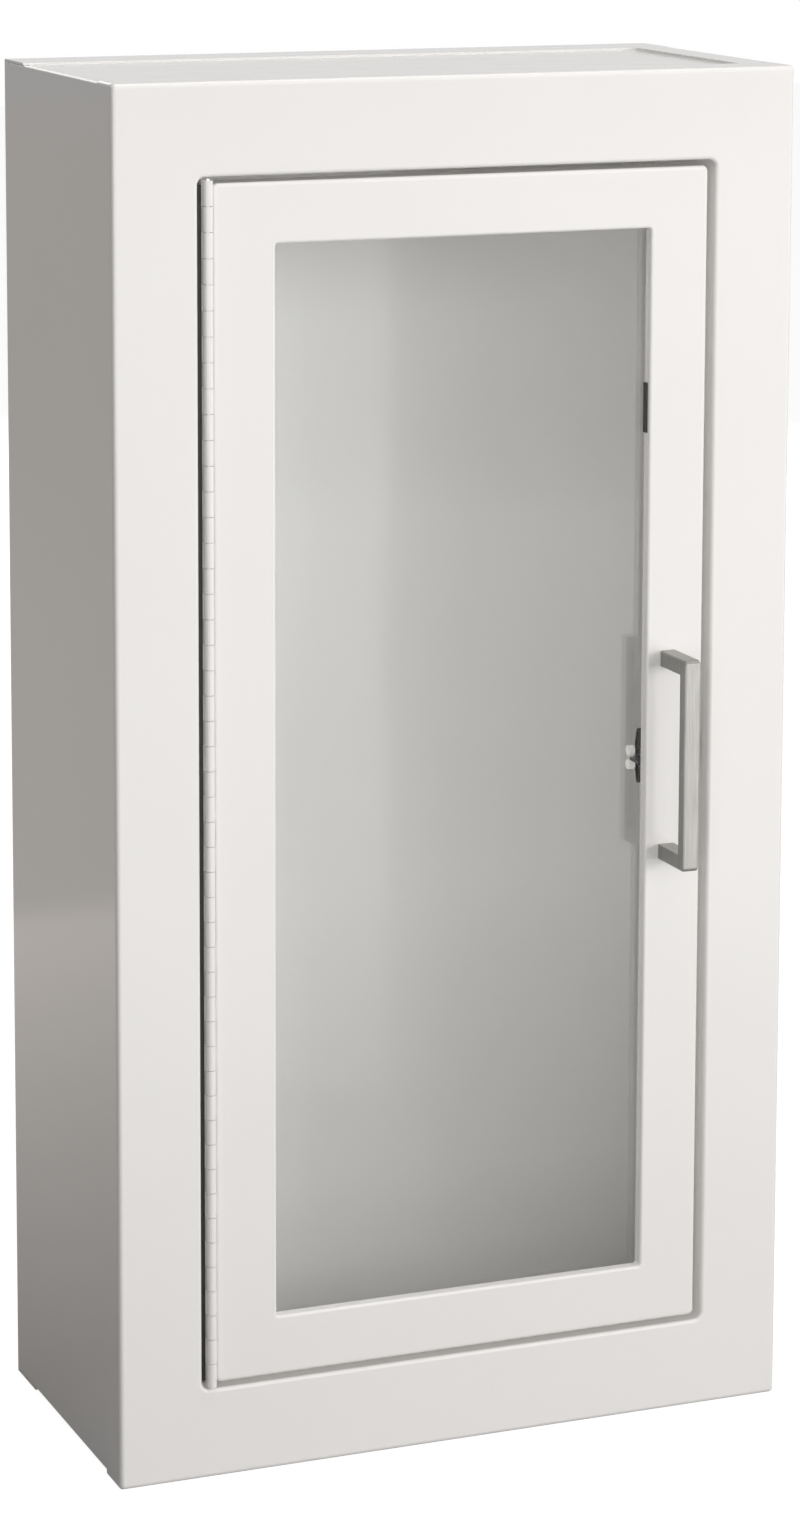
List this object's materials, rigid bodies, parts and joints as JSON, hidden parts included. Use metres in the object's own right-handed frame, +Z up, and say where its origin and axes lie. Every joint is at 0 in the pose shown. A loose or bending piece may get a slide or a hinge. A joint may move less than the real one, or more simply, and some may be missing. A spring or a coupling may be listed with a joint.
{
  "type": "fire extinguisher cabinet",
  "caption": "Wall cabinet in white sheet steel for a fire extinguisher, with a framed front, a flush windowed door on a continuous hinge and a bar pull.",
  "frame": {"origin": "middle of the back face, on the wall", "axes": "+X to the viewer's right, +Y back into the wall, +Z up"},
  "size_m": [0.365, 0.208, 0.705],
  "materials": {
    "white_enamel": "white powder coat, light satin",
    "bright_steel": "bright zinc plate",
    "dark_spring_steel": "blued spring steel",
    "white_nylon": "natural nylon",
    "clear_pane": "clear acrylic",
    "black_plastic": "black moulding",
    "satin_nickel": "satin nickel plate"
  },
  "bodies": {
    "cabinet": {"front_frame": "white_enamel", "left_side": "white_enamel", "right_side": "white_enamel", "top_panel": "white_enamel", "bottom_panel": "white_enamel", "back_panel": "white_enamel", "hinge_packing_strip": "black_plastic", "hinge_frame_leaf": "white_enamel", "hinge_pin": "bright_steel", "catch_bracket": "bright_steel", "catch_spring": "dark_spring_steel", "catch_roller_upper": "white_nylon", "catch_roller_lower": "white_nylon", "catch_pin_upper": "dark_spring_steel", "catch_pin_lower": "dark_spring_steel"},
    "door": {"door_skin": "white_enamel", "hinge_door_leaf": "white_enamel", "window_pane": "clear_pane", "pane_retainer_left": "white_enamel", "pane_retainer_right": "white_enamel", "pane_retainer_top": "white_enamel", "pane_retainer_bottom": "white_enamel", "pane_clip": "black_plastic", "door_handle": "satin_nickel", "catch_strike": "dark_spring_steel"}
  },
  "joints": [
    {"name": "door_hinge", "type": "hinge", "parent": "cabinet", "child": "door", "pos_m": [-0.13375, -0.178, 0], "axis": [0, 0, -1], "range_deg": [0, 170]}
  ]
}
